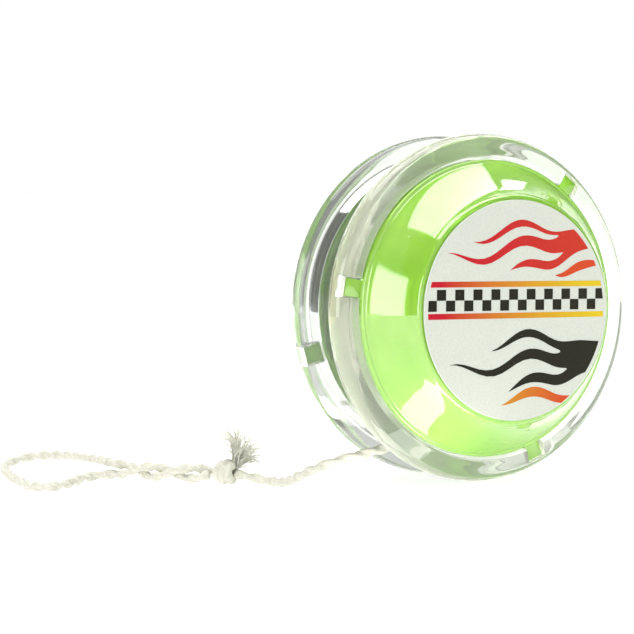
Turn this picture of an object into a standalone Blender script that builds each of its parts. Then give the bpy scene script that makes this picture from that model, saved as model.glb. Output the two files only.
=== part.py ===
"""A clear plastic yo yo with green cups, standing on edge, with its string led out along the floor.

The floor is z = 0, the axle runs along Y and the front label faces -Y. The string gap is the plane y = 0.
"""

import math

import bmesh
import bpy
from mathutils import Vector

MM = 0.001

# Driving sizes, in millimetres
FACETS = 48
RIM_R = 28.5
AXLE_HEIGHT = RIM_R * math.cos(math.pi / FACETS)
CLEAR = 0.3

ROD_R = 2.0
ROD_HALF_LENGTH = 13.4
BORE_R = ROD_R + CLEAR
HUB_R = 5.6
HUB_TOP = 8.0

GAP_HALF = 1.5
SLEEVE_R = 3.6
SLEEVE_HALF = GAP_HALF - CLEAR
SPACER_LENGTH = 1.3
PAD_INNER_R = 9.0
PAD_OUTER_R = 11.0
PAD_DEPTH = 0.5

MOUTH_R = 24.5
CUP_R = MOUTH_R - CLEAR
CUP_LIP_Y = 8.7
CUP_SKIRT_Y = 7.1
CUP_FACE_Y = 15.9
CUP_INSIDE_Y = 14.8

KEY_COUNT = 3
KEY_WIDTH = 2.8
KEY_REACH = 26.9
KEY_BOTTOM_Y = 6.2
KEY_TOP_Y = 7.7
FRONT_KEY_TURN = math.radians(13)
REAR_KEY_TURN = math.radians(-12)

LABEL_R = 17.6
LABEL_THICK = 0.3

WASHER_R = 4.5
WASHER_THICK = 0.5
NUT_ACROSS_FLATS = 7.0
NUT_THICK = 3.2

STRING_D = 1.7
STRING_REST = STRING_D / 2 + 0.02
WINDING_R = 17.4
WINDING_HALF = GAP_HALF - CLEAR

TWIST_OFFSET = 1.02
TWIST_HALF_TURNS = 2.5
KNOT_CENTRE = (-32.8, 26.0, 2.32)
KNOT_RADII = (2.3, 2.2, 2.3)

# The string's free run, from the winding through the gap and along the floor to the knot
RUN_ROUTE = [
    (7.0, 0.0, 11.25),
    (1.5, 0.0, 9.5),
    (-4.5, 0.0, 8.3),
    (-10.5, 0.0, 7.4),
    (-16.5, 0.0, 6.8),
    (-21.5, 0.2, 6.3),
    (-25.4, 1.6, 5.6),
    (-27.9, 4.6, 4.3),
    (-28.6, 8.6, 2.8),
    (-28.2, 12.4, 1.7),
    (-27.8, 15.8, 1.05),
    (-27.8, 18.9, STRING_REST),
    (-29.0, 21.8, 1.1),
    (-31.0, 24.0, 1.75),
]

# The middle line of the two strands that are twisted together, from the knot to the loop
TWIST_ROUTE = [
    (-34.4, 28.4, 2.1),
    (-37.4, 33.0, 2.0),
    (-39.8, 38.0, 1.95),
    (-41.7, 43.3, 1.92),
    (-43.4, 48.6, 1.92),
]

# The open finger loop, from the far strand's end of the twist round to the near strand's
LOOP_ROUTE = [
    (-43.7, 52.8, 2.9),
    (-43.9, 58.0, 2.8),
    (-44.2, 63.5, 2.65),
    (-44.9, 69.0, 2.45),
    (-46.6, 74.0, 2.15),
    (-49.4, 77.3, 1.75),
    (-52.7, 77.3, 1.3),
    (-55.2, 74.0, 1.0),
    (-56.7, 69.0, STRING_REST),
    (-57.8, 63.0, STRING_REST),
    (-58.6, 57.0, STRING_REST),
    (-59.1, 51.8, STRING_REST),
    (-58.3, 48.0, STRING_REST),
    (-55.9, 46.3, STRING_REST),
    (-53.0, 47.4, STRING_REST),
    (-50.4, 49.5, STRING_REST),
    (-47.6, 50.8, STRING_REST),
    (-45.2, 50.4, STRING_REST),
]

# The unravelled tail above the knot: (middle point, radius)
FRAY_STATIONS = [
    ((-31.2, 25.2, 4.85), 0.7),
    ((-30.2, 24.7, 6.3), 1.7),
    ((-29.3, 24.2, 8.0), 2.3),
    ((-29.0, 24.0, 9.8), 1.2),
]
FRAY_SIDES = 10


def clear_scene():
    for item in list(bpy.data.objects):
        bpy.data.objects.remove(item, do_unlink=True)


def material(name, colour, roughness, metallic=0.0, transmission=0.0, ior=1.5):
    made = bpy.data.materials.new(name)
    made.use_nodes = True
    shader = made.node_tree.nodes["Principled BSDF"]
    shader.inputs["Base Color"].default_value = (*colour, 1.0)
    shader.inputs["Roughness"].default_value = roughness
    shader.inputs["Metallic"].default_value = metallic
    shader.inputs["Transmission Weight"].default_value = transmission
    shader.inputs["IOR"].default_value = ior
    made.diffuse_color = (*colour, 1.0)
    return made


def add_object(name, data, surface, parent=None):
    item = bpy.data.objects.new(name, data)
    bpy.context.scene.collection.objects.link(item)
    data.materials.append(surface)
    item.parent = parent
    return item


def smooth(mesh, degrees=35):
    mesh.shade_smooth()
    mesh.set_sharp_from_angle(angle=math.radians(degrees))


def finish_mesh(bm, name):
    bmesh.ops.recalc_face_normals(bm, faces=bm.faces)
    mesh = bpy.data.meshes.new(name)
    bm.to_mesh(mesh)
    bm.free()
    smooth(mesh)
    return mesh


def turned_mesh(name, outline, side, closed=True, facets=FACETS):
    """Turns an outline of (radius, distance from the gap's middle) about Y, towards -Y where side is -1."""
    bm = bmesh.new()
    start = math.pi / facets
    points = []
    for radius, reach in outline:
        place = Vector((radius * math.cos(start), side * reach, radius * math.sin(start)))
        points.append(bm.verts.new(place * MM))
    pairs = list(zip(points, points[1:]))
    if closed:
        pairs.append((points[-1], points[0]))
    edges = [bm.edges.new(pair) for pair in pairs]
    bmesh.ops.spin(
        bm,
        geom=points + edges,
        cent=(0, 0, 0),
        axis=(0, 1, 0),
        angle=2 * math.pi,
        steps=facets,
        use_merge=True,
    )
    bmesh.ops.remove_doubles(bm, verts=bm.verts, dist=1e-7)
    return finish_mesh(bm, name)


def key_box(name, inner, outer, width, bottom, top, turn, side):
    """A block that points outwards from the axle, at an angle above the -X direction."""
    bm = bmesh.new()
    bmesh.ops.create_cube(bm, size=1.0)
    bmesh.ops.scale(bm, vec=Vector((outer - inner, top - bottom, width)) * MM, verts=bm.verts)
    middle = Vector(((inner + outer) / 2, side * (bottom + top) / 2, 0)) * MM
    bmesh.ops.translate(bm, vec=middle, verts=bm.verts)
    mesh = finish_mesh(bm, name)
    item = bpy.data.objects.new(name, mesh)
    bpy.context.scene.collection.objects.link(item)
    item.rotation_euler = (0, turn, 0)
    item.hide_render = True
    item.display_type = "WIRE"
    return item


def key_angles(first):
    """Turns about Y that carry +X to each key, the first of them above -X."""
    return [math.pi + first + step * math.tau / KEY_COUNT for step in range(KEY_COUNT)]


def cut(item, cutter):
    boolean = item.modifiers.new(cutter.name, "BOOLEAN")
    boolean.operation = "DIFFERENCE"
    boolean.solver = "EXACT"
    boolean.object = cutter


def join(item, piece):
    boolean = item.modifiers.new(piece.name, "BOOLEAN")
    boolean.operation = "UNION"
    boolean.solver = "EXACT"
    boolean.object = piece


def shell_outline():
    """The clear half: hub, flared gap face with its pad groove, thick rim, bevelled front and open mouth."""
    counterbore_r = SLEEVE_R + CLEAR
    spacer_floor = GAP_HALF + SPACER_LENGTH + CLEAR
    groove_floor = GAP_HALF + PAD_DEPTH + CLEAR
    return [
        (BORE_R, spacer_floor),
        (counterbore_r, spacer_floor),
        (counterbore_r, GAP_HALF),
        (PAD_INNER_R - CLEAR, GAP_HALF),
        (PAD_INNER_R - CLEAR, groove_floor),
        (PAD_OUTER_R + CLEAR, groove_floor),
        (PAD_OUTER_R + CLEAR, GAP_HALF),
        (16.6, 1.55),
        (19.6, 1.9),
        (22.0, 2.4),
        (24.4, 3.1),
        (26.6, 3.9),
        (27.9, 4.7),
        (RIM_R, 5.5),
        (RIM_R, 6.3),
        (28.3, 7.1),
        (27.8, 7.7),
        (26.9, 8.1),
        (MOUTH_R + 0.4, CUP_LIP_Y - 0.2),
        (MOUTH_R, CUP_LIP_Y - 0.4),
        (MOUTH_R, 5.2),
        (23.8, 4.6),
        (21.4, 3.9),
        (17.0, 3.3),
        (HUB_R + 0.7, 3.2),
        (HUB_R, 3.9),
        (HUB_R - 0.4, HUB_TOP),
        (BORE_R, HUB_TOP),
    ]


def cup_outline():
    """The cap's skirt, lip, sloping side, steep shoulder and flat plateau, hollow from behind."""
    return [
        (0.0, CUP_FACE_Y),
        (17.9, CUP_FACE_Y),
        (18.4, 15.6),
        (18.75, 14.8),
        (19.25, 13.7),
        (20.4, 12.0),
        (21.9, 10.2),
        (23.1, 9.0),
        (23.6, CUP_LIP_Y),
        (CUP_R - 0.2, CUP_LIP_Y),
        (CUP_R, CUP_LIP_Y - 0.2),
        (CUP_R, CUP_SKIRT_Y),
        (CUP_R - 1.1, CUP_SKIRT_Y),
        (CUP_R - 1.1, 7.8),
        (20.8, 9.9),
        (19.3, 11.7),
        (18.1, 13.5),
        (17.6, 14.5),
        (17.1, CUP_INSIDE_Y),
        (0.0, CUP_INSIDE_Y),
    ]


def ring_outline(inner, outer, near, far):
    return [(inner, near), (outer, near), (outer, far), (inner, far)]


def disc_outline(radius, near, far):
    return [(0.0, near), (radius, near), (radius, far), (0.0, far)]


def make_half(name, side, first_key, axle, surfaces):
    """One half of the body, with everything that turns with it on that side of the gap."""
    shell = add_object(f"{name}_shell", turned_mesh(f"{name}_shell", shell_outline(), side),
                       surfaces["clear"], axle)
    cup = add_object(f"{name}_cup", turned_mesh(f"{name}_cup", cup_outline(), side, closed=False),
                     surfaces["green"], axle)
    for number, turn in enumerate(key_angles(first_key)):
        slot = key_box(f"{name}_slot_{number}", CUP_R - 1.0, KEY_REACH + CLEAR, KEY_WIDTH + 2 * CLEAR,
                       KEY_BOTTOM_Y - CLEAR, CUP_LIP_Y + 1.0, turn, side)
        slot.parent = axle
        cut(shell, slot)
        key = key_box(f"{name}_key_{number}", CUP_R - 0.7, KEY_REACH, KEY_WIDTH,
                      KEY_BOTTOM_Y, KEY_TOP_Y, turn, side)
        key.parent = axle
        join(cup, key)

    label_near = CUP_FACE_Y + CLEAR
    label = disc_outline(LABEL_R, label_near, label_near + LABEL_THICK)
    add_object(f"{name}_label", turned_mesh(f"{name}_label", label, side, closed=False),
               surfaces["label"], axle)

    washer_near = HUB_TOP + CLEAR
    washer = ring_outline(BORE_R, WASHER_R, washer_near, washer_near + WASHER_THICK)
    add_object(f"{name}_washer", turned_mesh(f"{name}_washer", washer, side, facets=32),
               surfaces["steel"], axle)
    nut_near = washer_near + WASHER_THICK + CLEAR
    add_object(f"{name}_nut", nut_mesh(f"{name}_nut", side, nut_near), surfaces["zinc"], axle)

    spacer_near = GAP_HALF
    spacer = ring_outline(BORE_R, SLEEVE_R, spacer_near, spacer_near + SPACER_LENGTH)
    add_object(f"{name}_spacer", turned_mesh(f"{name}_spacer", spacer, side, facets=32),
               surfaces["brass"], axle)
    pad = ring_outline(PAD_INNER_R, PAD_OUTER_R, GAP_HALF, GAP_HALF + PAD_DEPTH)
    add_object(f"{name}_friction_pad", turned_mesh(f"{name}_friction_pad", pad, side),
               surfaces["rubber"], axle)


def nut_mesh(name, side, near):
    """A hexagonal nut with a round threaded hole, its faces bridged between hexagon and hole."""
    count = 24
    bm = bmesh.new()
    rings = []
    for reach in (near, near + NUT_THICK):
        for radius_of in (nut_edge, lambda angle: BORE_R):
            ring = []
            for step in range(count):
                angle = step * math.tau / count
                radius = radius_of(angle)
                place = Vector((radius * math.cos(angle), side * reach, radius * math.sin(angle)))
                ring.append(bm.verts.new(place * MM))
            rings.append(ring)
    outer_near, inner_near, outer_far, inner_far = rings
    for first, second in ((outer_near, outer_far), (outer_far, inner_far),
                          (inner_far, inner_near), (inner_near, outer_near)):
        for step in range(count):
            after = (step + 1) % count
            bm.faces.new((first[step], first[after], second[after], second[step]))
    return finish_mesh(bm, name)


def nut_edge(angle):
    """The hexagon's distance from the axle in a given direction."""
    sector = math.tau / 6
    return NUT_ACROSS_FLATS / 2 / math.cos((angle + sector / 2) % sector - sector / 2)


def make_axle_rod(axle, surfaces):
    rod = [
        (0.0, -ROD_HALF_LENGTH),
        (ROD_R - 0.4, -ROD_HALF_LENGTH),
        (ROD_R, -ROD_HALF_LENGTH + 0.4),
        (ROD_R, ROD_HALF_LENGTH - 0.4),
        (ROD_R - 0.4, ROD_HALF_LENGTH),
        (0.0, ROD_HALF_LENGTH),
    ]
    add_object("axle_rod", turned_mesh("axle_rod", rod, 1, closed=False, facets=32),
               surfaces["steel"], axle)


def smooth_line(route, per_span):
    """Points on a centripetal Catmull-Rom curve through the route's points."""
    points = [Vector(p) for p in route]
    before = points[0] * 2 - points[1]
    after = points[-1] * 2 - points[-2]
    padded = [before, *points, after]
    line = []
    for index in range(len(points) - 1):
        a, b, c, d = padded[index:index + 4]
        knots = [0.0]
        for first, second in ((a, b), (b, c), (c, d)):
            knots.append(knots[-1] + max((second - first).length, 1e-6) ** 0.5)
        for step in range(per_span):
            at = knots[1] + (knots[2] - knots[1]) * step / per_span
            line.append(span_point((a, b, c, d), knots, at))
    line.append(points[-1])
    return line


def span_point(corners, knots, at):
    """The curve's point within its middle span, by repeated blending of the four corner points."""
    a, b, c, d = corners
    first = blend(a, b, knots[0], knots[1], at)
    second = blend(b, c, knots[1], knots[2], at)
    third = blend(c, d, knots[2], knots[3], at)
    early = blend(first, second, knots[0], knots[2], at)
    late = blend(second, third, knots[1], knots[3], at)
    return blend(early, late, knots[1], knots[2], at)


def blend(start, end, low, high, at):
    return start.lerp(end, (at - low) / (high - low))


def evenly(line, count):
    """The same line with a given number of points, evenly spaced."""
    lengths = [0.0]
    for first, second in zip(line, line[1:]):
        lengths.append(lengths[-1] + (second - first).length)
    made = []
    index = 0
    for step in range(count):
        target = lengths[-1] * step / (count - 1)
        while index < len(line) - 2 and lengths[index + 1] < target:
            index += 1
        span = lengths[index + 1] - lengths[index]
        made.append(line[index].lerp(line[index + 1], (target - lengths[index]) / span))
    return made


def string_tube(name, line, surface):
    """A round tube along a line of points in millimetres, closed at both ends."""
    data = bpy.data.curves.new(name, "CURVE")
    data.dimensions = "3D"
    data.bevel_depth = STRING_D / 2 * MM
    data.bevel_resolution = 2
    data.use_fill_caps = True
    spline = data.splines.new("POLY")
    spline.points.add(len(line) - 1)
    for point, place in zip(spline.points, line):
        point.co = (*(place * MM), 1.0)
    return add_object(name, data, surface)


def twisted_strands():
    """The two strands of the doubled stretch, each a list of points from the knot to the loop."""
    middle = evenly(smooth_line(TWIST_ROUTE, 8), 17)
    strands = ([], [])
    up = Vector((0, 0, 1))
    for index, place in enumerate(middle):
        ahead = middle[min(index + 1, len(middle) - 1)] - middle[max(index - 1, 0)]
        across = ahead.cross(up).normalized()
        angle = math.pi * TWIST_HALF_TURNS * index / (len(middle) - 1)
        offset = (across * math.cos(angle) + up * math.sin(angle)) * TWIST_OFFSET
        strands[0].append(place + offset)
        strands[1].append(place - offset)
    return strands


def finger_loop_line():
    """One line out along the far strand, round the open loop and back along the near strand."""
    far, near = twisted_strands()
    loop = [Vector(p) for p in LOOP_ROUTE]
    joined = [*far, *loop, *reversed(near)]
    return evenly(smooth_line(joined, 4), 78)


def fray_mesh(name):
    """The unravelled tail as a tuft that widens from the knot and closes at its top."""
    bm = bmesh.new()
    rings = []
    for middle, radius in FRAY_STATIONS:
        ring = []
        for step in range(FRAY_SIDES):
            angle = step * math.tau / FRAY_SIDES
            offset = Vector((math.cos(angle) * radius, math.sin(angle) * radius, 0))
            ring.append(bm.verts.new((Vector(middle) + offset) * MM))
        rings.append(ring)
    for lower, upper in zip(rings, rings[1:]):
        for step in range(FRAY_SIDES):
            after = (step + 1) % FRAY_SIDES
            bm.faces.new((lower[step], lower[after], upper[after], upper[step]))
    bm.faces.new(reversed(rings[0]))
    bm.faces.new(rings[-1])
    return finish_mesh(bm, name)


def knot_mesh(name):
    bm = bmesh.new()
    bmesh.ops.create_uvsphere(bm, u_segments=20, v_segments=12, radius=1.0)
    bmesh.ops.scale(bm, vec=Vector(KNOT_RADII) * MM, verts=bm.verts)
    return finish_mesh(bm, name)


def make_string(surfaces):
    """The sleeve that the string is looped round, the winding, the free run, the knot and the loop."""
    sleeve = ring_outline(BORE_R, SLEEVE_R, -SLEEVE_HALF, SLEEVE_HALF)
    sleeve_item = add_object("axle_sleeve", turned_mesh("axle_sleeve", sleeve, 1, facets=32),
                             surfaces["brass"])
    sleeve_item.location = (0, 0, AXLE_HEIGHT * MM)
    winding = ring_outline(SLEEVE_R + CLEAR, WINDING_R, -WINDING_HALF, WINDING_HALF)
    winding_item = add_object("string_winding", turned_mesh("string_winding", winding, 1),
                              surfaces["cotton"])
    winding_item.location = (0, 0, AXLE_HEIGHT * MM)
    string_tube("string_run", evenly(smooth_line(RUN_ROUTE, 8), 26), surfaces["cotton"])
    knot = add_object("string_knot", knot_mesh("string_knot"), surfaces["cotton"])
    knot.location = Vector(KNOT_CENTRE) * MM
    add_object("string_frayed_end", fray_mesh("string_frayed_end"), surfaces["cotton"])
    string_tube("finger_loop", finger_loop_line(), surfaces["cotton"])


def main():
    clear_scene()
    surfaces = {
        "clear": material("clear_plastic", (0.93, 0.96, 0.93), 0.04, transmission=1.0, ior=1.5),
        "green": material("green_plastic", (0.35, 0.85, 0.08), 0.08, transmission=0.6, ior=1.5),
        "label": material("label_print", (0.78, 0.78, 0.74), 0.35),
        "steel": material("turned_steel", (0.62, 0.62, 0.62), 0.3, metallic=1.0),
        "zinc": material("zinc_nut", (0.68, 0.67, 0.62), 0.35, metallic=1.0),
        "brass": material("brass_collar", (0.78, 0.62, 0.32), 0.3, metallic=1.0),
        "rubber": material("friction_rubber", (0.7, 0.7, 0.68), 0.8),
        "cotton": material("string_cotton", (0.82, 0.8, 0.72), 0.9),
    }
    axle = bpy.data.objects.new("axle_line", None)
    bpy.context.scene.collection.objects.link(axle)
    axle.location = (0, 0, AXLE_HEIGHT * MM)
    make_half("front", -1, FRONT_KEY_TURN, axle, surfaces)
    make_half("rear", 1, REAR_KEY_TURN, axle, surfaces)
    make_axle_rod(axle, surfaces)
    make_string(surfaces)


main()
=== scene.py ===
import math
import random

import bmesh
import bpy
from mathutils import Matrix, Vector
from mathutils.geometry import tessellate_polygon


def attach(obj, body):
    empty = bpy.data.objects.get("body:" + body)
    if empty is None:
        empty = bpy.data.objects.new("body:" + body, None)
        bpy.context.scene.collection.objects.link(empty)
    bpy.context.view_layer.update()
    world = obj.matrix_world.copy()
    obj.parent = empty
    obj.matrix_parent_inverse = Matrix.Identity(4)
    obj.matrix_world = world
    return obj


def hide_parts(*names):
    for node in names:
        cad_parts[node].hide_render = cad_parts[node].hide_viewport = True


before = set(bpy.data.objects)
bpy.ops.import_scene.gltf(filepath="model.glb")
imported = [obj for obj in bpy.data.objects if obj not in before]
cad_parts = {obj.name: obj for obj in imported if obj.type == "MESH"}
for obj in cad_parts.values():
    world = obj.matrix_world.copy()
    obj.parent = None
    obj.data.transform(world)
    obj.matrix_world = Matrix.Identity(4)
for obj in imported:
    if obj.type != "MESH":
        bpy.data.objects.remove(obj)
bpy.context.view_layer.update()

MM = 0.001

# ---------------------------------------------------------------- sizes, in millimetres
AXLE_HEIGHT = 28.44
ROUND = 320
SHARP = 40
SMALL_SHARP = 30
STRING_REST = 0.87
TWIST_OFFSET = 0.88
TWIST_HALF_TURNS = 2.5
LAY_PITCH = 6.8
FIBRE_COUNT = 180
FIBRE_FLOOR = 0.25
KNOT_CENTRE = Vector((-32.8, 26.0, 2.32))

BORE_R = 2.3
GAP_HALF = 1.5
HUB_TOP = 8.0
MOUTH_R = 24.5
CUP_R = 24.2
CUP_LIP_Y = 8.7
CUP_SKIRT_Y = 7.1
CUP_FACE_Y = 15.9
CUP_INSIDE_Y = 14.8
KEY_COUNT = 3
KEY_WIDTH = 2.8
KEY_REACH = 26.9
KEY_BOTTOM_Y = 6.2
KEY_TOP_Y = 7.7
KEY_CLEAR = 0.3
FRONT_KEY_TURN = math.radians(13)
REAR_KEY_TURN = math.radians(-12)
KEY_BEVEL = 0.12
GAP_FACE_REACH = 5.4
GAP_FACE_SLOPE = 0.55
LABEL_R = 17.6
LABEL_Y = 16.2
LABEL_TOP_Y = 16.44
LABEL_EDGE = 0.06
INK = 0.02
INK_SINK = 0.01

RUN_ROUTE = [
    (7.0, 0.0, 11.25),
    (1.5, 0.0, 9.5),
    (-4.5, 0.0, 8.3),
    (-10.5, 0.0, 7.4),
    (-16.5, 0.0, 6.8),
    (-21.5, 0.2, 6.3),
    (-25.4, 1.6, 5.6),
    (-27.9, 4.6, 4.3),
    (-28.6, 8.6, 2.8),
    (-28.2, 12.4, 1.7),
    (-27.8, 15.8, 1.05),
    (-27.8, 18.9, STRING_REST),
    (-29.0, 21.8, 1.1),
    (-31.0, 24.0, 1.75),
]

TWIST_ROUTE = [
    (-34.4, 28.4, 2.1),
    (-37.4, 33.0, 2.0),
    (-39.8, 38.0, 1.95),
    (-41.7, 43.3, 1.92),
    (-43.4, 48.6, 1.92),
]

LOOP_ROUTE = [
    (-43.7, 52.8, 2.9),
    (-43.9, 58.0, 2.8),
    (-44.2, 63.5, 2.65),
    (-44.9, 69.0, 2.45),
    (-46.6, 74.0, 2.15),
    (-49.4, 77.3, 1.75),
    (-52.7, 77.3, 1.3),
    (-55.2, 74.0, 1.0),
    (-56.7, 69.0, STRING_REST),
    (-57.8, 63.0, STRING_REST),
    (-58.6, 57.0, STRING_REST),
    (-59.1, 51.8, STRING_REST),
    (-58.3, 48.0, STRING_REST),
    (-55.9, 46.3, STRING_REST),
    (-53.0, 47.4, STRING_REST),
    (-50.4, 49.5, STRING_REST),
    (-47.6, 50.8, STRING_REST),
    (-45.2, 50.4, STRING_REST),
]


# ---------------------------------------------------------------- small helpers
def smooth_line(route, per_span=8):
    """Points on a centripetal Catmull-Rom curve through the route's points."""
    points = [Vector(p) for p in route]
    padded = [points[0] * 2 - points[1], *points, points[-1] * 2 - points[-2]]
    line = []
    for index in range(len(points) - 1):
        corners = padded[index:index + 4]
        knots = [0.0]
        for first, second in zip(corners, corners[1:]):
            knots.append(knots[-1] + max((second - first).length, 1e-6) ** 0.5)
        for step in range(per_span):
            at = knots[1] + (knots[2] - knots[1]) * step / per_span
            line.append(span_point(corners, knots, at))
    line.append(points[-1])
    return line


def span_point(corners, knots, at):
    a, b, c, d = corners
    first = blend(a, b, knots[0], knots[1], at)
    second = blend(b, c, knots[1], knots[2], at)
    third = blend(c, d, knots[2], knots[3], at)
    early = blend(first, second, knots[0], knots[2], at)
    late = blend(second, third, knots[1], knots[3], at)
    return blend(early, late, knots[1], knots[2], at)


def blend(start, end, low, high, at):
    return start.lerp(end, (at - low) / (high - low))


def evenly(line, spacing):
    """The same line with points evenly spaced, about the given distance apart."""
    lengths = [0.0]
    for first, second in zip(line, line[1:]):
        lengths.append(lengths[-1] + (second - first).length)
    count = max(2, round(lengths[-1] / spacing) + 1)
    made = []
    index = 0
    for step in range(count):
        target = lengths[-1] * step / (count - 1)
        while index < len(line) - 2 and lengths[index + 1] < target:
            index += 1
        span = max(lengths[index + 1] - lengths[index], 1e-9)
        made.append(line[index].lerp(line[index + 1], (target - lengths[index]) / span))
    return made


def link(name, mesh, surface, body):
    item = bpy.data.objects.new(name, mesh)
    bpy.context.scene.collection.objects.link(item)
    mesh.materials.append(surface)
    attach(item, body)
    return item


def to_mesh(bm, name, sharp=None):
    bmesh.ops.recalc_face_normals(bm, faces=bm.faces)
    mesh = bpy.data.meshes.new(name)
    bm.to_mesh(mesh)
    bm.free()
    mesh.shade_smooth()
    if sharp is not None:
        mesh.set_sharp_from_angle(angle=math.radians(sharp))
    return mesh


# ---------------------------------------------------------------- camera
CAMERA_AZIMUTH = math.radians(-28.94)
CAMERA_ELEVATION = math.radians(5)
CAMERA_ROLL = math.radians(-4)
CAMERA_DISTANCE = 332.9
CAMERA_LENS = 113.6
AIM_RIGHT = -23.95
AIM_UP = -1.75


def make_camera():
    azimuth, elevation, roll = CAMERA_AZIMUTH, CAMERA_ELEVATION, CAMERA_ROLL
    back = Vector((math.sin(azimuth) * math.cos(elevation), -math.cos(azimuth) * math.cos(elevation),
                   math.sin(elevation)))
    level = Vector((math.cos(azimuth), math.sin(azimuth), 0))
    rise = back.cross(level)
    right = level * math.cos(roll) + rise * math.sin(roll)
    up = rise * math.cos(roll) - level * math.sin(roll)
    aim = Vector((0, 0, AXLE_HEIGHT)) + right * AIM_RIGHT + up * AIM_UP
    data = bpy.data.cameras.new("camera")
    data.sensor_width = 36
    data.lens = CAMERA_LENS
    data.clip_start = 0.01
    data.clip_end = 20
    item = bpy.data.objects.new("camera", data)
    bpy.context.scene.collection.objects.link(item)
    turn = Matrix((right, up, back)).transposed().to_4x4()
    item.matrix_world = Matrix.Translation((aim + back * CAMERA_DISTANCE) * MM) @ turn
    bpy.context.scene.camera = item


# ---------------------------------------------------------------- materials
ACRYLIC_IOR = 1.49


class Nodes:
    """A material's node tree, with short ways to add and join nodes."""

    def __init__(self, name):
        self.material = bpy.data.materials.new(name)
        self.material.use_nodes = True
        self.tree = self.material.node_tree
        self.shader = self.tree.nodes["Principled BSDF"]

    def add(self, kind, **values):
        node = self.tree.nodes.new(kind)
        for key, value in values.items():
            setattr(node, key, value)
        return node

    def join(self, start, end):
        self.tree.links.new(start, end)

    def set(self, **values):
        for key, value in values.items():
            self.shader.inputs[key.replace("_", " ")].default_value = value

    def coords(self, kind="Object", scale=(1, 1, 1)):
        source = self.add("ShaderNodeTexCoord")
        mapping = self.add("ShaderNodeMapping")
        mapping.inputs["Scale"].default_value = scale
        self.join(source.outputs[kind], mapping.inputs["Vector"])
        return mapping.outputs["Vector"]

    def noise(self, vector, scale, detail=3.0, roughness=0.55, distortion=0.0):
        node = self.add("ShaderNodeTexNoise")
        node.inputs["Scale"].default_value = scale
        node.inputs["Detail"].default_value = detail
        node.inputs["Roughness"].default_value = roughness
        node.inputs["Distortion"].default_value = distortion
        self.join(vector, node.inputs["Vector"])
        return node.outputs["Fac"]

    def ramp(self, value, stops):
        node = self.add("ShaderNodeValToRGB")
        elements = node.color_ramp.elements
        while len(elements) < len(stops):
            elements.new(0.5)
        for element, (place, colour) in zip(elements, stops):
            element.position = place
            element.color = (*colour, 1.0)
        self.join(value, node.inputs["Fac"])
        return node.outputs["Color"]

    def spread(self, value, low, high, start=0.0, end=1.0):
        node = self.add("ShaderNodeMapRange")
        node.inputs["From Min"].default_value = start
        node.inputs["From Max"].default_value = end
        node.inputs["To Min"].default_value = low
        node.inputs["To Max"].default_value = high
        self.join(value, node.inputs["Value"])
        return node.outputs["Result"]

    def bump(self, height, strength, distance, under=None):
        """Bumps the surface by a height map, on top of an earlier bump where one is given."""
        node = self.add("ShaderNodeBump")
        if under is not None:
            self.join(under, node.inputs["Normal"])
        node.inputs["Strength"].default_value = strength
        node.inputs["Distance"].default_value = distance
        self.join(height, node.inputs["Height"])
        self.join(node.outputs["Normal"], self.shader.inputs["Normal"])
        return node.outputs["Normal"]


def srgb(red, green, blue):
    """A linear colour from 0-255 screen values."""
    def channel(value):
        value = value / 255
        return value / 12.92 if value <= 0.04045 else ((value + 0.055) / 1.055) ** 2.4
    return channel(red), channel(green), channel(blue)


def fibre_material():
    """The pale loose fibres, which let much of the light through."""
    made = Nodes("cotton_fibre")
    tone = made.noise(made.coords("Object"), 1400, 2.0)
    made.join(made.ramp(tone, [(0.3, srgb(212, 210, 195)), (0.7, srgb(240, 240, 232))]),
              made.shader.inputs["Base Color"])
    made.join(made.spread(tone, 0.7, 0.9), made.shader.inputs["Roughness"])
    made.set(Transmission_Weight=0.35, IOR=1.1)
    return made.material


def cotton_material():
    made = Nodes("cotton_string")
    fibres = made.coords("UV", scale=(22, 60, 1))
    strands = made.noise(fibres, 1.0, 4.0, 0.6, 0.4)
    patches = made.noise(made.coords("Object"), 900, 3.0)
    mix = made.add("ShaderNodeMix", data_type="RGBA")
    mix.inputs["Factor"].default_value = 0.35
    shade = made.ramp(strands, [(0.3, srgb(162, 159, 139)), (0.5, srgb(204, 203, 189)),
                                (0.72, srgb(232, 232, 222))])
    cloud = made.ramp(patches, [(0.3, srgb(183, 180, 160)), (0.7, srgb(227, 227, 216))])
    made.join(shade, mix.inputs["A"])
    made.join(cloud, mix.inputs["B"])
    made.join(mix.outputs["Result"], made.shader.inputs["Base Color"])
    made.join(made.spread(strands, 0.75, 0.95), made.shader.inputs["Roughness"])
    made.set(Sheen_Weight=0.15, Sheen_Roughness=0.5, Subsurface_Weight=0.15, Subsurface_Scale=0.0005)
    made.shader.inputs["Subsurface Radius"].default_value = (1.0, 0.9, 0.7)
    made.bump(strands, 0.55, 0.00012)
    return made.material


def clear_material(name, glow, strength):
    """Clear acrylic. The faint glow stands for the light that a rim pipes round."""
    made = Nodes(name)
    made.set(Transmission_Weight=0.955, IOR=ACRYLIC_IOR, Roughness=0.0, Emission_Strength=strength)
    made.shader.inputs["Base Color"].default_value = (0.96, 0.995, 0.935, 1.0)
    made.shader.inputs["Emission Color"].default_value = glow
    ripple = made.noise(made.coords("Object"), 110, 1.0)
    made.bump(ripple, 0.5, 0.00018)
    return made.material


def scuffed_material_with_shade_tone(name, tone, clearness):
    """Acrylic that the string has rubbed dull, on a face of the gap. Its tone is painted shade where it is
    grey: on the rear half it darkens the gap between the halves.
    """
    made = Nodes(name)
    rubbed = made.noise(made.coords("Object"), 220, 4.0, 0.6)
    made.set(Transmission_Weight=clearness, IOR=ACRYLIC_IOR)
    # A grey tone is painted shade, which darkens the gap between the halves.
    made.shader.inputs["Base Color"].default_value = tone
    made.join(made.spread(rubbed, 0.01, 0.09), made.shader.inputs["Roughness"])
    made.bump(rubbed, 0.1, 0.0001)
    return made.material


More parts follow.
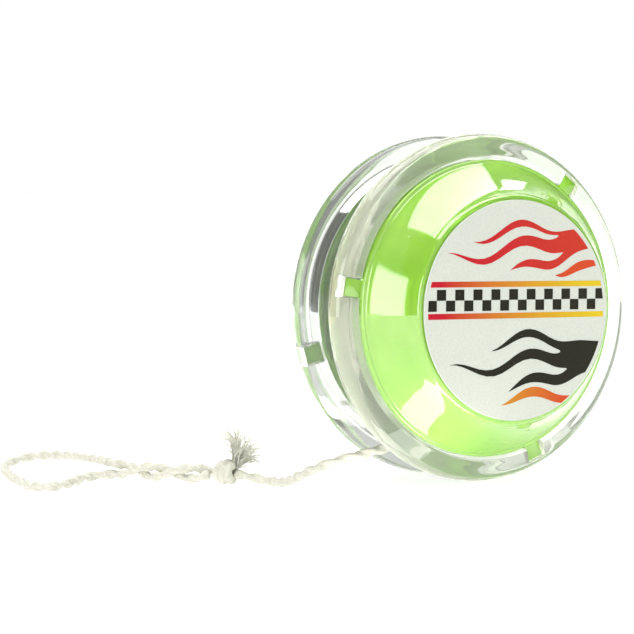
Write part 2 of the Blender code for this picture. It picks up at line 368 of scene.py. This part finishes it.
def green_material():
    made = Nodes("green_plastic")
    clouds = made.noise(made.coords("Object"), 90, 2.0)
    colour = made.ramp(clouds, [(0.3, (0.38, 0.80, 0.065)), (0.7, (0.50, 0.89, 0.12))])
    made.join(colour, made.shader.inputs["Base Color"])
    made.set(Transmission_Weight=0.55, IOR=1.6, Roughness=0.03)
    made.set(Coat_Weight=1.0, Coat_IOR=1.6, Coat_Roughness=0.02)
    sink = made.bump(made.noise(made.coords("Object"), 75, 1.5), 0.7, 0.0005)
    specks = made.noise(made.coords("Object"), 1500, 1.0)
    made.bump(made.spread(specks, 0.0, 1.0, 0.68, 0.78), 0.25, 0.0001, sink)
    return made.material


def label_material():
    made = Nodes("label_film")
    weave = made.noise(made.coords("Object", scale=(9000, 1, 900)), 1.0, 1.0)
    grain = made.noise(made.coords("Object"), 2500, 2.0)
    colour = made.ramp(grain, [(0.25, srgb(190, 194, 183)), (0.75, srgb(201, 205, 194))])
    made.join(colour, made.shader.inputs["Base Color"])
    made.join(made.spread(weave, 0.32, 0.42), made.shader.inputs["Roughness"])
    made.bump(weave, 0.06, 0.00005)
    return made.material


def ink_material(name, left, right, low_x, high_x):
    """Printed ink whose colour runs from one side of the label to the other, with fine dust specks."""
    made = Nodes(name)
    split = made.add("ShaderNodeSeparateXYZ")
    made.join(made.coords("UV"), split.inputs["Vector"])
    across = made.spread(split.outputs["X"], 0.0, 1.0, low_x, high_x)
    colour = made.ramp(across, [(0.0, left), (1.0, right)])
    grain = made.noise(made.coords("Object"), 5200, 1.0)
    specks = made.spread(grain, 0.0, 0.35, 0.76, 0.84)
    mix = made.add("ShaderNodeMix", data_type="RGBA")
    made.join(specks, mix.inputs["Factor"])
    made.join(colour, mix.inputs["A"])
    mix.inputs["B"].default_value = (0.8, 0.75, 0.7, 1)
    made.join(mix.outputs["Result"], made.shader.inputs["Base Color"])
    made.join(made.spread(grain, 0.42, 0.55), made.shader.inputs["Roughness"])
    made.set(Specular_IOR_Level=0.15)
    return made.material


def metal_material(name, colour, stretch, base_roughness):
    made = Nodes(name)
    lines = made.noise(made.coords("Object", scale=stretch), 1.0, 3.0)
    made.join(made.ramp(lines, [(0.2, tuple(c * 0.8 for c in colour)), (0.8, colour)]),
              made.shader.inputs["Base Color"])
    made.join(made.spread(lines, base_roughness * 0.7, base_roughness * 1.4), made.shader.inputs["Roughness"])
    made.set(Metallic=1.0)
    made.bump(lines, 0.15, 0.00003)
    return made.material


def rubber_material():
    made = Nodes("response_rubber")
    grain = made.noise(made.coords("Object"), 3500, 3.0)
    made.join(made.ramp(grain, [(0.3, srgb(196, 197, 190)), (0.7, srgb(222, 223, 216))]),
              made.shader.inputs["Base Color"])
    made.join(made.spread(grain, 0.6, 0.8), made.shader.inputs["Roughness"])
    made.bump(grain, 0.3, 0.00005)
    return made.material


# ---------------------------------------------------------------- string
def string_mesh(name, line, sides=20, spacing=0.24, start_turn=0.0, lobe=0.31, ply=0.555, taper=2):
    """Two plies laid round each other along a line in millimetres. UV is (length, way round)."""
    points = evenly(line, spacing)
    count = len(points)
    tangents = []
    for index in range(count):
        ahead = points[min(index + 1, count - 1)] - points[max(index - 1, 0)]
        tangents.append(ahead.normalized())
    normal = tangents[0].orthogonal().normalized()
    verts = []
    for index, (place, tangent) in enumerate(zip(points, tangents)):
        normal = (normal - tangent * normal.dot(tangent)).normalized()
        across = tangent.cross(normal)
        turn = start_turn + math.tau * index * spacing / LAY_PITCH
        edge = min(index, count - 1 - index)
        swell = 1.0 if edge >= taper else math.sin(math.pi / 2 * (edge + 0.6) / (taper + 0.6))
        for side in range(sides):
            angle = math.tau * side / sides
            along = math.cos(angle - turn)
            hidden = math.sin(angle - turn)
            radius = lobe * abs(along) + math.sqrt(max(ply * ply - lobe * lobe * hidden * hidden, 0.0))
            radius *= swell
            spot = place + (normal * math.cos(angle) + across * math.sin(angle)) * radius
            spot.z = max(spot.z, 0.02)
            verts.append(spot * MM)
    faces = []
    for index in range(count - 1):
        for side in range(sides):
            after = (side + 1) % sides
            faces.append((index * sides + side, index * sides + after,
                          (index + 1) * sides + after, (index + 1) * sides + side))
    faces.append(tuple(reversed(range(sides))))
    faces.append(tuple(range((count - 1) * sides, count * sides)))
    mesh = bpy.data.meshes.new(name)
    mesh.from_pydata([tuple(v) for v in verts], [], faces)
    layer = mesh.uv_layers.new(name="lay")
    for face in mesh.polygons:
        for loop in face.loop_indices:
            vertex = mesh.loops[loop].vertex_index
            station, side = divmod(vertex, sides)
            if side == 0 and face.index < (count - 1) * sides and face.index % sides == sides - 1:
                side = sides
            lay = side / sides + station * spacing / LAY_PITCH * 2.2
            layer.data[loop].uv = (station * spacing / 10, lay)
    mesh.shade_smooth()
    return mesh, points


def winding_line():
    """A spiral from the sleeve outwards that leaves the winding where the run begins."""
    inner = 4.95
    outer = 18.56
    turns = 10.9
    end = math.radians(22.2)
    line = []
    steps = round(turns * 30)
    for step in range(steps + 1):
        share = step / steps
        angle = end + (1 - share) * turns * math.tau
        radius = inner + (outer - inner) * share
        aside = 0.3 * math.sin(angle * 0.5 + 0.4) * (1 - share ** 8)
        line.append(Vector((radius * math.sin(angle), aside, AXLE_HEIGHT - radius * math.cos(angle))))
    return line


def twisted_strands():
    middle = evenly(smooth_line(TWIST_ROUTE), 1.35)
    strands = ([], [])
    up = Vector((0, 0, 1))
    for index, place in enumerate(middle):
        ahead = middle[min(index + 1, len(middle) - 1)] - middle[max(index - 1, 0)]
        across = ahead.cross(up).normalized()
        angle = math.pi * TWIST_HALF_TURNS * index / (len(middle) - 1)
        offset = (across * math.cos(angle) + up * math.sin(angle)) * TWIST_OFFSET
        strands[0].append(place + offset)
        strands[1].append(place - offset)
    return strands


def finger_loop_line():
    far, near = twisted_strands()
    loop = [Vector(p) for p in LOOP_ROUTE]
    return smooth_line([*far, *loop, *reversed(near)], 6)


def knot_line():
    """The knot's wraps, round the string's own direction, in millimetres."""
    ahead = Vector((-0.52, 0.85, 0.0)).normalized()
    up = Vector((0, 0, 1))
    across = ahead.cross(up).normalized()
    line = []
    turns = 2.6
    steps = 60
    for step in range(steps + 1):
        share = step / steps
        angle = 1.1 + share * turns * math.tau
        reach = (share - 0.5) * 2.5
        radius = 1.18 + 0.14 * math.sin(math.pi * share)
        middle = KNOT_CENTRE + ahead * reach
        line.append(middle + (across * math.cos(angle) + up * math.sin(angle)) * radius)
    return line


def make_string(surface, fibre):
    winding = winding_line()
    run = smooth_line([winding[-3], *[Vector(p) for p in RUN_ROUTE], Vector((-32.0, 25.0, 2.1))])
    whole = winding[:-3] + run
    mesh, points = string_mesh("string_wound", whole, sides=16, spacing=0.3)
    string = link("string_wound", mesh, surface, "string")
    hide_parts("string_winding", "string_run")

    mesh, loop_points = string_mesh("string_loop", finger_loop_line(), start_turn=0.7)
    loop = link("string_loop", mesh, surface, "string")
    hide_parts("finger_loop")

    mesh, _ = string_mesh("knot_wraps", knot_line(), sides=24, spacing=0.2, lobe=0.25, ply=0.72, taper=4)
    knot = link("knot_wraps", mesh, surface, "string")
    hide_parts("string_knot")

    fray = make_fray(fibre)


def make_fray(surface):
    """The unravelled tail: fine fibres that leave the knot together and spread."""
    rng = random.Random(7)
    root = Vector((-31.3, 25.2, 4.0))
    right = Vector((0.875, -0.484, 0))
    up = Vector((0, 0, 1))
    depth = Vector((0.484, 0.875, 0))
    verts = []
    faces = []
    for _ in range(FIBRE_COUNT):
        group = rng.random()
        if group < 0.45:
            lean = rng.gauss(0.05, 0.14)
            height = rng.uniform(4.4, 8.2)
        else:
            lean = rng.uniform(0.3, 1.45)
            height = rng.uniform(3.0, 6.4)
        start = root + right * rng.gauss(0.0, 0.35) + depth * rng.gauss(0, 0.3) + up * rng.uniform(-1.3, 0.3)
        bend = rng.gauss(-0.25 if group < 0.45 else 0.1, 0.5)
        side = rng.gauss(0, 0.25)
        steps = 9
        line = []
        for step in range(steps + 1):
            share = step / steps
            angle = lean + bend * share * share
            place = start + (right * math.sin(angle) + up * math.cos(angle)) * height * share
            place += depth * side * height * share
            line.append(Vector((place.x, place.y, max(place.z, FIBRE_FLOOR))))
        radius = rng.uniform(0.06, 0.12)
        add_fibre(verts, faces, line, radius)
    mesh = bpy.data.meshes.new("frayed_fibres")
    mesh.from_pydata([tuple(v * MM) for v in verts], [], faces)
    mesh.shade_smooth()
    mesh.uv_layers.new(name="lay")
    fray = link("frayed_fibres", mesh, surface, "string")
    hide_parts("string_frayed_end")
    return fray


def add_fibre(verts, faces, line, radius, sides=4):
    base = len(verts)
    count = len(line)
    normal = (line[1] - line[0]).orthogonal().normalized()
    for index, place in enumerate(line):
        ahead = (line[min(index + 1, count - 1)] - line[max(index - 1, 0)]).normalized()
        normal = (normal - ahead * normal.dot(ahead)).normalized()
        across = ahead.cross(normal)
        size = radius * (1 - 0.65 * index / (count - 1))
        for side in range(sides):
            angle = math.tau * side / sides
            verts.append(place + (normal * math.cos(angle) + across * math.sin(angle)) * size)
    for index in range(count - 1):
        for side in range(sides):
            after = (side + 1) % sides
            faces.append((base + index * sides + side, base + index * sides + after,
                          base + (index + 1) * sides + after, base + (index + 1) * sides + side))
    faces.append(tuple(base + side for side in reversed(range(sides))))
    faces.append(tuple(base + (count - 1) * sides + side for side in range(sides)))


# ---------------------------------------------------------------- turned body pieces
def turned(name, strokes, side):
    """Turns an outline of (radius, reach) strokes about the axle. Each stroke is smoothed on its own."""
    outline = []
    for stroke in strokes:
        points = [Vector((r, y, 0)) for r, y in stroke]
        fine = smooth_line(points, 5) if len(points) > 2 else points
        for point in fine:
            if not outline or (outline[-1] - point).length > 1e-4:
                outline.append(point)
    if (outline[0] - outline[-1]).length < 1e-4:
        outline.pop()
    bm = bmesh.new()
    rings = []
    for point in outline:
        if point.x < 1e-6:
            rings.append([bm.verts.new(Vector((0, side * point.y, AXLE_HEIGHT)) * MM)])
            continue
        ring = []
        for step in range(ROUND):
            angle = math.tau * step / ROUND
            across, up = point.x * math.cos(angle), point.x * math.sin(angle)
            place = Vector((across, side * point.y, AXLE_HEIGHT + up))
            ring.append(bm.verts.new(place * MM))
        rings.append(ring)
    pairs = list(zip(rings, rings[1:]))
    if len(rings[0]) > 1 and len(rings[-1]) > 1:
        pairs.append((rings[-1], rings[0]))
    for first, second in pairs:
        for step in range(ROUND):
            after = (step + 1) % ROUND
            if len(first) == 1 and len(second) == 1:
                break
            if len(first) == 1:
                bm.faces.new((first[0], second[after], second[step]))
            elif len(second) == 1:
                bm.faces.new((first[step], first[after], second[0]))
            else:
                bm.faces.new((first[step], first[after], second[after], second[step]))
    return to_mesh(bm, name, SHARP)


def shell_strokes():
    """The half's outline: the bore's inner end, the gap face with its pad groove, the rim, the hub."""
    return [
        [(BORE_R, 3.1), (3.9, 3.1)],
        [(3.9, 3.1), (3.9, GAP_HALF)],
        [(3.9, GAP_HALF), (8.7, GAP_HALF)],
        [(8.7, GAP_HALF), (8.7, 2.3)],
        [(8.7, 2.3), (11.3, 2.3)],
        [(11.3, 2.3), (11.3, GAP_HALF)],
        [(11.3, GAP_HALF), (14.0, GAP_HALF), (16.6, 1.55), (19.6, 1.9), (22.0, 2.4), (24.4, 3.1), (26.4, 3.8),
         (27.6, 4.4), (28.25, 5.1), (28.43, 5.8), (28.38, 6.5), (28.15, 7.15), (27.8, 7.6), (27.45, 7.85)],
        [(27.45, 7.85), (26.6, 8.1), (25.8, 8.3), (25.2, 8.45), (24.85, 8.5), (24.6, 8.42),
         (MOUTH_R, 8.25)],
        [(MOUTH_R, 8.25), (MOUTH_R, 5.3)],
        [(MOUTH_R, 5.3), (24.3, 4.95), (23.6, 4.6), (21.4, 3.95), (19.0, 3.55), (17.0, 3.35), (14.0, 3.25),
         (6.4, 3.2)],
        [(6.4, 3.2), (5.9, 3.4), (5.6, 3.9), (5.2, HUB_TOP)],
        [(5.2, HUB_TOP), (BORE_R, HUB_TOP)],
        [(BORE_R, HUB_TOP), (BORE_R, 3.1)],
    ]


def cup_strokes():
    """The cup's outline: its face, its curved side, its lip and skirt, then the inside."""
    return [
        [(0.0, CUP_FACE_Y), (17.9, CUP_FACE_Y)],
        [(17.9, CUP_FACE_Y), (18.15, 15.85), (18.35, 15.65), (18.5, 15.3)],
        [(18.5, 15.3), (18.8, 14.5), (19.35, 13.45), (20.1, 12.35), (21.2, 10.95), (22.3, 9.8), (23.1, 9.1),
         (23.45, 8.85)],
        [(23.45, 8.85), (23.6, CUP_LIP_Y), (23.85, CUP_LIP_Y), (24.05, 8.62), (CUP_R, 8.4)],
        [(CUP_R, 8.4), (CUP_R, CUP_SKIRT_Y)],
        [(CUP_R, CUP_SKIRT_Y), (CUP_R - 1.1, CUP_SKIRT_Y)],
        [(CUP_R - 1.1, CUP_SKIRT_Y), (CUP_R - 1.1, 7.5), (22.7, 8.1), (20.8, 9.95), (19.4, 11.6),
         (18.2, 13.3), (17.7, 14.3), (17.4, 14.65), (16.9, CUP_INSIDE_Y)],
        [(16.9, CUP_INSIDE_Y), (0.0, CUP_INSIDE_Y)],
    ]


def key_box(name, inner, outer, width, bottom, top, turn, side):
    bm = bmesh.new()
    bmesh.ops.create_cube(bm, size=1.0)
    bmesh.ops.scale(bm, vec=Vector((outer - inner, top - bottom, width)) * MM, verts=bm.verts)
    middle = Vector(((inner + outer) / 2, side * (bottom + top) / 2, 0)) * MM
    bmesh.ops.translate(bm, vec=middle, verts=bm.verts)
    bmesh.ops.bevel(bm, geom=bm.edges, offset=KEY_BEVEL * MM, segments=2, affect="EDGES", profile=0.5)
    bmesh.ops.rotate(bm, cent=(0, 0, 0), matrix=Matrix.Rotation(turn, 3, "Y"), verts=bm.verts)
    bmesh.ops.translate(bm, vec=Vector((0, 0, AXLE_HEIGHT)) * MM, verts=bm.verts)
    item = bpy.data.objects.new(name, to_mesh(bm, name, SMALL_SHARP))
    bpy.context.scene.collection.objects.link(item)
    return item


def combine(item, other, operation):
    """Applies one EXACT Boolean and removes the other object."""
    modifier = item.modifiers.new("shape", "BOOLEAN")
    modifier.operation = operation
    modifier.solver = "EXACT"
    modifier.object = other
    graph = bpy.context.evaluated_depsgraph_get()
    made = bpy.data.meshes.new_from_object(item.evaluated_get(graph))
    item.modifiers.clear()
    old = item.data
    item.data = made
    bpy.data.meshes.remove(old)
    bpy.data.objects.remove(other, do_unlink=True)


def make_half(name, side, first_key, surfaces):
    """One clear half with its green cup, keys, label and prints. Side is -1 for the front, 1 for the rear."""
    def turned_piece(part, strokes, surface):
        return link(f"{name}_{part}", turned(f"{name}_{part}", strokes, side), surfaces[surface], "yoyo")

    shell = turned_piece("clear_half", shell_strokes(), f"{name}_clear")
    cup = turned_piece("green_cup", cup_strokes(), "green")
    for number in range(KEY_COUNT):
        turn = math.pi + first_key + number * math.tau / KEY_COUNT
        slot = key_box("slot", CUP_R - 1.0, KEY_REACH + KEY_CLEAR, KEY_WIDTH + 2 * KEY_CLEAR,
                       KEY_BOTTOM_Y - KEY_CLEAR, CUP_LIP_Y + 1.0, turn, side)
        combine(shell, slot, "DIFFERENCE")
        key = key_box("key", CUP_R - 0.7, KEY_REACH, KEY_WIDTH, KEY_BOTTOM_Y, KEY_TOP_Y, turn, side)
        combine(cup, key, "UNION")
    # The gap faces take the second material; on the rear half its grey tone is painted shade between the
    # halves.
    shell.data.materials.append(surfaces[f"{name}_gap_face"])
    for face in shell.data.polygons:
        if side * face.normal.y < -GAP_FACE_SLOPE and side * face.center.y < GAP_FACE_REACH * MM:
            face.material_index = 1
    for item in (shell, cup):
        item.data.shade_smooth()
        item.data.set_sharp_from_angle(angle=math.radians(SHARP))
    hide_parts(f"{name}_shell")
    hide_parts(f"{name}_cup")
    label_strokes = [
        [(0.0, LABEL_TOP_Y), (LABEL_R - LABEL_EDGE, LABEL_TOP_Y)],
        [(LABEL_R - LABEL_EDGE, LABEL_TOP_Y), (LABEL_R, LABEL_TOP_Y - LABEL_EDGE)],
        [(LABEL_R, LABEL_TOP_Y - LABEL_EDGE), (LABEL_R, LABEL_Y)],
        [(LABEL_R, LABEL_Y), (0.0, LABEL_Y)],
    ]
    label = turned_piece("label_disc", label_strokes, "label")
    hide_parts(f"{name}_label")
    make_art(name, side, surfaces)


# ---------------------------------------------------------------- label artwork, (across, up) in millimetres
ART_R = LABEL_R - 0.7
CHECK = 1.7
BAND_TILT = -5

# A flame group is its tongues' tips and the hollows between them, from the top one down.
RED_TONGUES = [(-7.6, 12.4), (-12.6, 9.2), (-1.0, 6.0)]
RED_HOLLOWS = [(8.6, 11.6), (9.2, 8.7)]
BLACK_TONGUES = [(-5.6, -4.8), (-13.6, -8.4), (-2.8, -12.4)]
BLACK_HOLLOWS = [(7.6, -7.0), (8.6, -10.0)]


def bezier(start, first, second, end, steps=22):
    """Points on a cubic curve, without its last one."""
    line = []
    for step in range(steps):
        at = step / steps
        back = 1 - at
        line.append(start * back ** 3 + first * (3 * back * back * at) + second * (3 * back * at * at)
                    + end * at ** 3)
    return line


def edge_arc(high, low):
    """Points down the right-hand edge of the label, between two heights."""
    top, bottom = math.asin(high / ART_R), math.asin(low / ART_R)
    steps = 16
    angles = [top + (bottom - top) * step / steps for step in range(steps + 1)]
    return [Vector((ART_R * math.cos(angle), ART_R * math.sin(angle), 0)) for angle in angles]


def flame(tongues, hollows, high, low):
    """Tongues that run left from the label's edge to sharp tips, with round hollows between them."""
    arc = edge_arc(high, low)
    tips = [Vector((x, z, 0)) for x, z in tongues]
    pits = [Vector((x, z, 0)) for x, z in hollows]
    reach = (arc[0] - tips[0]).length
    outline = bezier(arc[0], arc[0] + Vector((-0.35 * reach, 0.9, 0)),
                     tips[0] + Vector((0.45 * reach, 1.6, 0)), tips[0])
    for tip, pit, following in zip(tips, pits, tips[1:]):
        above = (pit - tip).length
        below = (pit - following).length
        outline += bezier(tip, tip + Vector((0.40 * above, -0.7, 0)),
                          pit + Vector((0.12 * above, 0.9, 0)), pit)
        outline += bezier(pit, pit + Vector((-0.12 * below, -0.9, 0)),
                          following + Vector((0.5 * below, 1.3, 0)), following)
    reach = (arc[-1] - tips[-1]).length
    outline += bezier(tips[-1], tips[-1] + Vector((0.45 * reach, -1.5, 0)),
                      arc[-1] + Vector((-0.35 * reach, -0.4, 0)), arc[-1])
    return [waved(point) for point in outline + list(reversed(arc))[:-1]]


def waved(point):
    """The point moved up or down in a slow wave that dies out towards the label's right-hand edge."""
    share = max(0.0, min(1.0, (12.5 - point.x) / 7))
    return Vector((point.x, point.y + 1.15 * share * math.sin(math.tau * (point.x + 2.0) / 15), 0))


def lick(z, length, thick, rise):
    """One loose tongue that starts thick at the label's right-hand edge, at a height."""
    base = Vector((math.sqrt(ART_R ** 2 - z * z), z, 0))
    low_z = z - thick
    low = Vector((math.sqrt(ART_R ** 2 - low_z * low_z), low_z, 0))
    tip = base + Vector((-length, rise, 0))
    upper = bezier(base, base + Vector((-0.4 * length, 0.9 * thick, 0)),
                   tip + Vector((0.4 * length, 0, 0)), tip)
    lower = bezier(tip, tip + Vector((0.3 * length, -1.6 * thick, 0)),
                   low + Vector((-0.4 * length, -0.2, 0)), low)
    return [waved(point) for point in upper + lower + [low]]


def band_piece(left, right, bottom, top):
    """A box in the band across the label, tilted with it and cut at its edge."""
    def limit(x, z):
        reach = math.sqrt(ART_R ** 2 - z * z)
        return max(-reach, min(reach, x))
    corners = [(limit(left, bottom), bottom), (limit(right, bottom), bottom),
               (limit(right, top), top), (limit(left, top), top)]
    turn = Matrix.Rotation(math.radians(BAND_TILT), 3, "Z")
    return [turn @ Vector((x, z, 0)) for x, z in corners]


def add_print(bm, uv_layer, outline, side, near, far):
    """A flat closed prism on the label in the shape of an outline."""
    rings = []
    for reach in (near, far):
        ring = []
        for point in outline:
            place = Vector((-side * point.x, side * reach, AXLE_HEIGHT + point.y))
            ring.append(bm.verts.new(place * MM))
        rings.append(ring)
    low, high = rings
    made = []
    for corners in tessellate_polygon([outline]):
        made.append(bm.faces.new([low[corner] for corner in corners]))
        made.append(bm.faces.new([high[corner] for corner in reversed(corners)]))
    for step in range(len(outline)):
        after = (step + 1) % len(outline)
        made.append(bm.faces.new((low[step], low[after], high[after], high[step])))
    for face in made:
        for loop in face.loops:
            loop[uv_layer].uv = (-side * loop.vert.co.x / MM, loop.vert.co.z / MM - AXLE_HEIGHT)


def print_piece(name, outlines, side, surface):
    bm = bmesh.new()
    uv_layer = bm.loops.layers.uv.new("print")
    for outline in outlines:
        add_print(bm, uv_layer, outline, side, LABEL_TOP_Y - INK_SINK, LABEL_TOP_Y + INK)
    item = link(name, to_mesh(bm, name, SMALL_SHARP), surface, "yoyo")


def make_art(name, side, surfaces):
    """Flames above and below a plain checkered band with two stripes."""
    checks = []
    columns = math.ceil(ART_R / CHECK)
    for row in (0, 1):
        for column in range(-columns, columns):
            if (row + column) % 2 == 0:
                left = column * CHECK
                box = band_piece(left, left + CHECK, row * CHECK, (row + 1) * CHECK)
                if (box[1] - box[0]).length > 0.2 and (box[2] - box[3]).length > 0.2:
                    checks.append(box)
    upper = band_piece(-ART_R, ART_R, 2 * CHECK + 0.35, 2 * CHECK + 1.25)
    lower = band_piece(-ART_R, ART_R, -1.25, -0.35)
    prints = {
        "red": [flame(RED_TONGUES, RED_HOLLOWS, 12.0, 8.6)],
        "black": [flame(BLACK_TONGUES, BLACK_HOLLOWS, -6.6, -11.4)],
        "gold": [lick(-14.2, 13.5, 1.0, 0.4), lick(6.6, 8.0, 0.9, -1.0)],
        "checks": checks,
        "stripes": [upper, lower],
    }
    inks = {"red": "red_ink", "black": "black_ink", "gold": "gold_ink", "checks": "black_ink",
            "stripes": "stripe_ink"}
    for key, outlines in prints.items():
        print_piece(f"{name}_print_{key}", outlines, side, surfaces[inks[key]])


# ---------------------------------------------------------------- surroundings
FLOOR_SIZE = 6
FLOOR_DROP = 0.02


def make_floor():
    """A pale floor just under the object, which glows a little so that it is bright through the plastic."""
    bpy.ops.mesh.primitive_plane_add(size=FLOOR_SIZE, location=(0, 0, -FLOOR_DROP * MM))
    floor = bpy.context.object
    floor.name = "floor"
    made = Nodes("floor_paper")
    grain = made.noise(made.coords("Object"), 400, 2.0)
    made.join(made.ramp(grain, [(0.3, (0.72, 0.72, 0.72)), (0.7, (0.74, 0.74, 0.74))]),
              made.shader.inputs["Base Color"])
    made.set(Roughness=0.9, Emission_Strength=0.68)
    made.shader.inputs["Emission Color"].default_value = (1, 1, 1, 1)
    floor.data.materials.append(made.material)


def area_light(name, place, target, size, power):
    data = bpy.data.lights.new(name, "AREA")
    data.shape = "RECTANGLE"
    data.size = size[0]
    data.size_y = size[1]
    data.energy = power
    item = bpy.data.objects.new(name, data)
    bpy.context.scene.collection.objects.link(item)
    item.location = place
    item.rotation_euler = (Vector(target) - Vector(place)).to_track_quat("-Z", "Y").to_euler()
    item.visible_camera = False


class Sky:
    """The studio round the object: a level that changes with direction, plus bright and dark panels."""

    def __init__(self):
        world = bpy.data.worlds.new("studio")
        bpy.context.scene.world = world
        world.use_nodes = True
        self.tree = world.node_tree
        coords = self.tree.nodes.new("ShaderNodeTexCoord")
        self.direction = coords.outputs["Generated"]

    def math(self, operation, first, second=None):
        node = self.tree.nodes.new("ShaderNodeMath")
        node.operation = operation
        for socket, value in zip(node.inputs, (first, second)):
            if isinstance(value, (int, float)):
                socket.default_value = value
            elif value is not None:
                self.tree.links.new(value, socket)
        return node.outputs["Value"]

    def dot(self, vector):
        node = self.tree.nodes.new("ShaderNodeVectorMath")
        node.operation = "DOT_PRODUCT"
        self.tree.links.new(self.direction, node.inputs[0])
        node.inputs[1].default_value = vector
        return node.outputs["Value"]

    def step(self, value, start, end):
        node = self.tree.nodes.new("ShaderNodeMapRange")
        node.interpolation_type = "SMOOTHSTEP"
        node.inputs["From Min"].default_value = start
        node.inputs["From Max"].default_value = end
        self.tree.links.new(value, node.inputs["Value"])
        return node.outputs["Result"]

    def panel(self, azimuth, elevation, half_width, half_height, soft=2.0):
        """1 inside a rectangle seen in a direction, 0 outside. Azimuth 0 is -Y, 90 is +X."""
        a, e = math.radians(azimuth), math.radians(elevation)
        ahead = Vector((math.sin(a) * math.cos(e), -math.cos(a) * math.cos(e), math.sin(e)))
        level = Vector((math.cos(a), math.sin(a), 0))
        rise = level.cross(ahead) * -1
        facing = self.dot(ahead)
        safe = self.math("MAXIMUM", facing, 0.02)
        mask = self.step(facing, 0.02, 0.05)
        for vector, half in ((level, half_width), (rise, half_height)):
            aside = self.math("ABSOLUTE", self.math("DIVIDE", self.dot(vector), safe))
            inner = math.tan(math.radians(half - soft))
            outer = math.tan(math.radians(half))
            mask = self.math("MULTIPLY", mask, self.step(aside, outer, inner))
        return mask

    def finish(self, level):
        """Lights the scene with the level, and shows plain white where the camera sees the sky itself."""
        path = self.tree.nodes.new("ShaderNodeLightPath")
        background = self.tree.nodes["Background"]
        seen = path.outputs["Is Camera Ray"]
        hidden = self.math("SUBTRACT", 1.0, seen)
        total = self.math("ADD", self.math("MULTIPLY", level, hidden), seen)
        self.tree.links.new(total, background.inputs["Strength"])
        background.inputs["Color"].default_value = (1, 1, 1, 1)


def make_lights():
    """Dark panels dim the sky and bright ones add to it, each by azimuth, elevation and half sizes."""
    sky = Sky()
    level = sky.math("ADD", 0.36, sky.math("MULTIPLY", sky.panel(151, 2, 42, 40, 14), 0.65))
    for azimuth, elevation, half_width, half_height, depth in (
        (66, 3, 30, 32, 0.9),
        (-124, 14, 46, 56, 1.0),
    ):
        dark = sky.math("MULTIPLY", sky.panel(azimuth, elevation, half_width, half_height, 4), depth)
        level = sky.math("MULTIPLY", level, sky.math("SUBTRACT", 1.0, dark))
    for azimuth, elevation, half_width, half_height, soft, strength in (
        (90, 86, 25, 32, 2, 4.5),
        (-66, 6, 22, 24, 5, 4.4),
        (117, 41, 7, 8, 2, 4.0),
    ):
        lit = sky.math("MULTIPLY", sky.panel(azimuth, elevation, half_width, half_height, soft), strength)
        level = sky.math("ADD", level, lit)
    sky.finish(level)
    area_light("bounce", (-0.016, -0.014, 0.0003), (-0.012, -0.01, 0.03), (0.026, 0.016), 0.006)


def main():
    make_camera()
    surfaces = {
        "front_clear": clear_material("clear_plastic", (0.98, 1.0, 0.76, 1.0), 0.08),
        "rear_clear": clear_material("rear_clear_plastic", (0.86, 1.0, 0.62, 1.0), 0.03),
        "front_gap_face": scuffed_material_with_shade_tone("scuffed_plastic", (0.96, 0.985, 0.93, 1.0), 0.94),
        # The rear gap face's grey tone is painted shade between the halves; its patchy dullness is the
        # string's scuffing.
        "rear_gap_face": scuffed_material_with_shade_tone("rubbed_and_shaded_plastic", (0.42, 0.43, 0.42, 1.0), 0.86),
        "green": green_material(),
        "label": label_material(),
        "cotton": cotton_material(),
        "fibre": fibre_material(),
        "rubber": rubber_material(),
        "steel": metal_material("turned_steel", (0.62, 0.62, 0.61), (900, 4000, 900), 0.28),
        "zinc": metal_material("zinc_plate", (0.70, 0.69, 0.64), (1200, 1200, 1200), 0.33),
        "brass": metal_material("turned_brass", (0.80, 0.62, 0.30), (900, 4000, 900), 0.25),
        "red_ink": ink_material("red_ink", srgb(180, 16, 36), srgb(186, 52, 34), -12, 14),
        "gold_ink": ink_material("gold_ink", srgb(186, 146, 34), srgb(194, 68, 32), -9, 8),
        "black_ink": ink_material("black_ink", srgb(27, 27, 14), srgb(33, 33, 19), -15, 15),
        "stripe_ink": ink_material("stripe_ink", srgb(180, 16, 36), srgb(208, 180, 30), -14, 15),
    }
    make_string(surfaces["cotton"], surfaces["fibre"])
    make_half("front", -1, FRONT_KEY_TURN, surfaces)
    make_half("rear", 1, REAR_KEY_TURN, surfaces)
    carried = {
        "axle_rod": "steel", "axle_sleeve": "brass", "front_washer": "steel", "rear_washer": "steel",
        "front_nut": "zinc", "rear_nut": "zinc", "front_spacer": "brass", "rear_spacer": "brass",
        "front_friction_pad": "rubber", "rear_friction_pad": "rubber",
    }
    for node, surface in carried.items():
        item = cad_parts[node]
        item.data.materials.clear()
        item.data.materials.append(surfaces[surface])
    make_floor()
    make_lights()


main()

scene = bpy.context.scene
scene.view_settings.view_transform = "Standard"
scene.cycles.use_denoising = True
scene.cycles.max_bounces = 48
scene.cycles.transmission_bounces = 32
scene.cycles.glossy_bounces = 32
scene.cycles.transparent_max_bounces = 16
